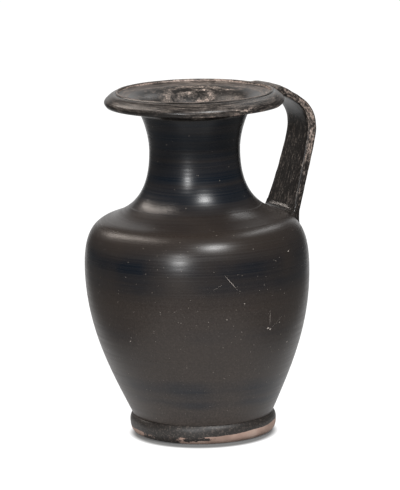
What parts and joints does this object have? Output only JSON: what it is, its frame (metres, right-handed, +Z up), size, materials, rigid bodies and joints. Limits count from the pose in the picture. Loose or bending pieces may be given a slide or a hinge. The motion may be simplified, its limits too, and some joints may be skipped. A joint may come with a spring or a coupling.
{
  "type": "olpe",
  "caption": "Small wheel-thrown jug with a round mouth, wide moulded lip, concave neck, broad shoulder, tapering body, ring foot and a strap handle from lip to shoulder",
  "frame": {"origin": "on the table, under the middle of the whole jug's length and width", "axes": "+Z up along the jug's height, +X towards the handle, +Y across the handle's width"},
  "size_m": [0.1402, 0.13, 0.1995],
  "materials": {
    "black_gloss": "semi-gloss black clay gloss with blue-black and brown-black wheel bands",
    "worn_gloss": "black clay gloss worn and flaked to a grey-brown and pinkish clay",
    "reserved_clay": "unglossed pinkish-brown fired clay with remains of black",
    "slip": "thin matt fired slip in the joints"
  },
  "bodies": {
    "root": {"foot": "reserved_clay", "foot_slip": "slip", "body": "black_gloss", "neck_slip": "slip", "neck": "black_gloss", "mouth_slip": "slip", "mouth": "worn_gloss", "handle": "worn_gloss", "handle_rim_slip": "slip", "handle_root_slip": "slip"}
  },
  "joints": []
}
